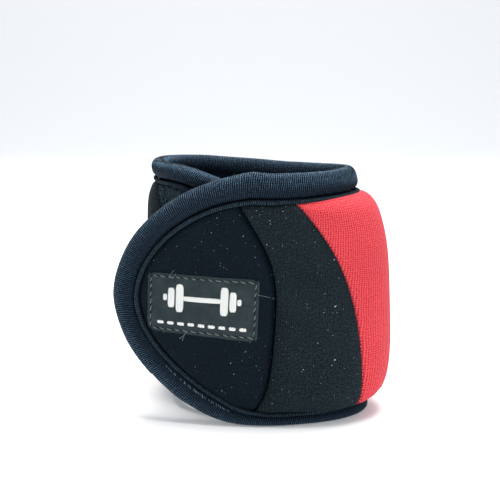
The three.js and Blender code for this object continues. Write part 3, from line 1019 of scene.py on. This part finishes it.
def build_bags():
    """The shot bags, each a crimped pillow under the cover, and the sheet behind them."""
    for number in range(BAGS.count):
        first = BAGS.start + number * BAGS.pitch + BAGS.apart
        last = min(first + BAGS.pitch - 2 * BAGS.apart, BAGS.last)
        u, v = np.meshgrid(crowded(17), crowded(33))
        s = (first + last) / 2 + (last - first) / 2 * u * (1 - BAGS.narrowed * v**2)
        z = MIDDLE + BAGS.half_height * v * (1 - BAGS.shortened * (1 - u**2))
        under = PANEL.face - PANEL.thickness + UNDER_SHARE * pad_bulge(s, z, pad_end(z))
        room = np.maximum(under - BAGS.gap - BAGS.low, BAGS.least)
        crown = np.clip((1 - u**6) * (1 - v**12), 0, 1) ** 0.5
        high = BAGS.low + BAGS.rim + (room - BAGS.rim) * crown
        stretch = STRETCHES[stretch_of((first + last) / 2)]
        for bag in make(f"bag_of_shot_{number + 1}", slab(s, z, high, BAGS.low), "shot_bag",
                        {stretch: f"shot_bag_{number + 1}"}, "shot_bag_film"):
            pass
    s, z = np.meshgrid(np.linspace(POCKET.start, POCKET.end, 75),
                       np.linspace(-1, 1, 25) * POCKET.half_height + MIDDLE)
    nodes = {"back": "back_pocket_sheet", "side": "side_pocket_sheet", "outer": "front_pocket_sheet"}
    sheets = make("pocket_sheet", slab(s, z, POCKET.high, POCKET.low), "pocket_fabric", nodes)
    tall = 2 * POCKET.half_height
    declare_sheets(sheets, s.min(), s.max(), lambda low, high: (high - low) * tall)


# ---- Building ----
# The depth and width of the grooves at the strap's edges and at the finer seams
EDGE_DIP, FINE_DIP = (2.0, 1.3), (0.9, 0.8)
# Each panel's name and slot, its left and right seams with their grooves, whether it is padded, and the
# CAD nodes that its stretches stand for
PANELS = [
    ("loop_fabric_panel", "loop_fabric", inner_end, EDGE_DIP, seam_loop, (1.4, 1.4), False,
     {"inner": "loop_panel"}),
    ("charcoal_inner", "charcoal_knit", seam_loop, (1.2, 1.2), seam_red_inner, FINE_DIP, True,
     {"inner": "left_cover"}),
    ("red_panel", "red_knit", seam_red_inner, FINE_DIP, seam_red_outer, FINE_DIP, True,
     {"back": "back_cover", "side": "side_cover"}),
    ("charcoal_outer", "charcoal_knit", seam_red_outer, FINE_DIP, seam_tab, (0.6, 0.5), True,
     {"outer": "front_cover"}),
    ("tab_panel", "black_knit", seam_tab, (2.6, 1.1), outer_end, EDGE_DIP, False,
     {"outer": "tab_cover"}),
]


def build_panels():
    for name, slot, left, left_dip, right, right_dip, padded, nodes in PANELS:
        body = panel(left, right, (left_dip, right_dip, EDGE_DIP), padded)
        for pad in make(name, body, slot, nodes):
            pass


EDGE_NODES = {
    "inner": "underlap_{0}",
    "left": "left_top_{0} left_bottom_{0}",
    "back": "back_top_{0} back_bottom_{0}",
    "side": "side_top_{0} side_bottom_{0} front_top_{0} front_bottom_{0}",
    "outer": "tab_{0}",
}


def edge_nodes(kind):
    return {stretch: names.format(kind) for stretch, names in EDGE_NODES.items()}


# Where the binding's ends overlap, the stitches there, of which a share is left, the fibres frayed
# there, and the fuzz all round the binding
BINDING_JOINT = Sizes(s=298.0, z=19.0, step=0.07, length=26.0)
JOINT_STITCH = Sizes(start=1.5, end=36.0, pitch=0.9, left=0.55, stray=0.3, inset=8.5, high=2.85, low=2.25,
                     half=0.5, reach=(0.1, 0.75), arch=0.3, radius=0.15)
FRAY = Sizes(count=9, inset=(0.0, 3.0), out=1.6, step=0.45, radius=0.07)
FUZZ = Sizes(count=260, inset=(0.05, 1.6), out=(1.2, 2.8), length=1.3, bend=0.35, radius=0.035)


def joint_along(stations, along):
    """How far along the edge the binding's joint is."""
    places = edge_points(stations, RIM_INSET)
    away = np.hypot(places[:, 0] - BINDING_JOINT.s, places[:, 1] - BINDING_JOINT.z)
    return along[int(np.argmin(away))]


def binding_swell(stations, along):
    """How the binding's thickness varies: slowly, with one end lying on the other at the joint."""
    past = along - joint_along(stations, along)
    length = BINDING_JOINT.length
    lap = smoothstep(-0.4, 0.4, past) * (1 - smoothstep(0.2 * length, length, past))
    uneven = 0.02 * np.sin(along / 9.1) + 0.015 * np.sin(along / 3.7 + 1.3)
    return 1 + uneven + BINDING_JOINT.step * lap


def build_edges():
    deep = BINDING.depth / 2
    tape = superellipse((deep, 0), (deep, BINDING.half), BINDING.power, 28)
    ring = sweep(tape, BINDING.rib, BINDING.relief, binding_swell)
    make("binding", ring, "binding_knit", edge_nodes("binding"))
    cord = superellipse((PIPING.inset, PIPING.out), (PIPING.radius, PIPING.radius), 2, 10)
    ring = sweep(cord, PIPING.rib, PIPING.relief)
    make("piping", ring, "piping_knit", edge_nodes("piping"))
    build_binding_threads()


def build_binding_threads():
    """The worn pale stitches and frayed fibres where the binding's ends overlap, and the fuzz all round
    it."""
    stations, along = edge_stations(0.5)
    start = joint_along(stations, along[:-1])
    parts, draw = [], np.random.default_rng(11)

    def place(at, inset, out):
        s, z = (np.interp(at, along[:-1], line) for line in edge_points(stations, inset).T)
        return (float(s), out, float(z))

    sewn = JOINT_STITCH
    for at in np.arange(start - sewn.end, start - sewn.start, sewn.pitch):
        shift, reach, worn = draw.normal(0, sewn.stray), draw.uniform(*sewn.reach), draw.uniform()
        if worn > sewn.left:
            continue
        ends = [place(at + shift - sewn.half, sewn.inset - reach, sewn.high),
                place(at + shift + sewn.half, sewn.inset + reach * 0.6, sewn.low)]
        parts.append(stitch(*ends, sewn.arch, sewn.radius * (0.7 + worn)))
    for i in range(FRAY.count):
        root = place(start + draw.uniform(-0.3, 0.5), draw.uniform(*FRAY.inset),
                     FRAY.out + draw.uniform(-1, 1))
        way = np.array([draw.uniform(-0.4, 0.9), draw.uniform(0.2, 0.9), draw.uniform(-1.0, -0.2)])
        bend = np.array([draw.normal(0, 0.3), 0.2, 0.15])
        path = [root + way * at + bend * at**2 for at in np.arange(4) * FRAY.step]
        parts.append(tube(path, FRAY.radius, 4, np.linspace(1, 0.5, 4)))
    make("binding_joint_stitches", join(parts), "binding_knit", cloth="pale_thread")
    hairs = []
    for at in draw.uniform(0, along[-1], FUZZ.count):
        root = place(at, draw.uniform(*FUZZ.inset), draw.choice([-1, 1]) * draw.uniform(*FUZZ.out))
        outwards = (0, np.sign(root[1]) * 0.8, np.sign(root[2] - MIDDLE) * 0.5)
        way = draw.normal(0, 1, 3) * (0.6, 0.5, 0.6) + outwards
        way *= FUZZ.length * draw.uniform(0.5, 1.3) / np.linalg.norm(way)
        bend = draw.normal(0, FUZZ.bend, 3)
        path = [root + way * k + bend * k * k for k in np.linspace(-0.2, 1, 5)]
        path = [(p[0], p[1], max(p[2], 0.2)) for p in path]
        hairs.append(tube(path, FUZZ.radius, 4, np.linspace(1, 0.4, 5)))
    make("binding_fuzz", join(hairs), "binding_knit", cloth="pale_thread")


LOOPS = Sizes(count=1700, radius=0.15, height=0.9, uneven_height=(0.6, 1.2), reach=0.5,
              uneven=(0.7, 1.3), lean=0.4, sunk=0.15, margin=1.2, end_margin=1.4)


def build_loops():
    """The loop panel's pile: small loops of thread standing at random angles on its face."""
    draw = np.random.default_rng(23)
    z = MIDDLE + draw.uniform(-1, 1, LOOPS.count) * (PANEL.half_height - LOOPS.margin)
    first, last = inner_end(z) + LOOPS.end_margin, seam_loop(z) - LOOPS.margin
    s = first + (last - first) * draw.uniform(0, 1, LOOPS.count)
    out = np.concatenate([face_out(*half) for half in zip(np.array_split(s, 8), np.array_split(z, 8))])
    turn = np.linspace(0, math.pi, 5)
    along, up = np.cos(turn), np.sin(turn)
    parts = []
    for *place, way in zip(s, out - LOOPS.sunk, z, draw.uniform(0, 2 * math.pi, LOOPS.count)):
        high = LOOPS.height * draw.uniform(*LOOPS.uneven_height)
        lean, reach = draw.uniform(-LOOPS.lean, LOOPS.lean), LOOPS.reach * draw.uniform(*LOOPS.uneven)
        path = np.column_stack([lean * up - math.cos(way) * reach * along, high * up,
                                lean * up - math.sin(way) * reach * along])
        parts.append(tube(path + place, LOOPS.radius, 4))
    make("loop_pile", join(parts), "loop_fabric", cloth="loop_pile")


def build_lining():
    half = MIDDLE - LINING.inset
    z_rows = MIDDLE + half * crowded(37)
    first, last = (end(z_rows, LINING.inset) for end in (inner_end, outer_end))
    s = first[:, None] + spread(last - first, step=2.0)
    body = slab(s, z_rows[:, None] + 0 * s, LINING.high, LINING.low)
    nodes = {"inner": "underlap_lining", "left": "left_lining", "back": "back_lining",
             "side": "side_lining front_lining", "outer": "tab_lining"}
    sheets = make("lining", body, "lining_knit", nodes)

    def area(low, high):
        widths = np.clip(np.minimum(last, high) - np.maximum(first, low), 0, None)
        return float(((widths[1:] + widths[:-1]) / 2 * np.diff(z_rows)).sum())

    declare_sheets(sheets, s.min(), s.max(), area)


add_camera()
add_studio()
make_cloths()
build_panels()
build_edges()
build_lining()
build_loops()
build_label()
build_lint()
build_seam_stitches()
build_lining_stitches()
build_hooks()
build_bags()
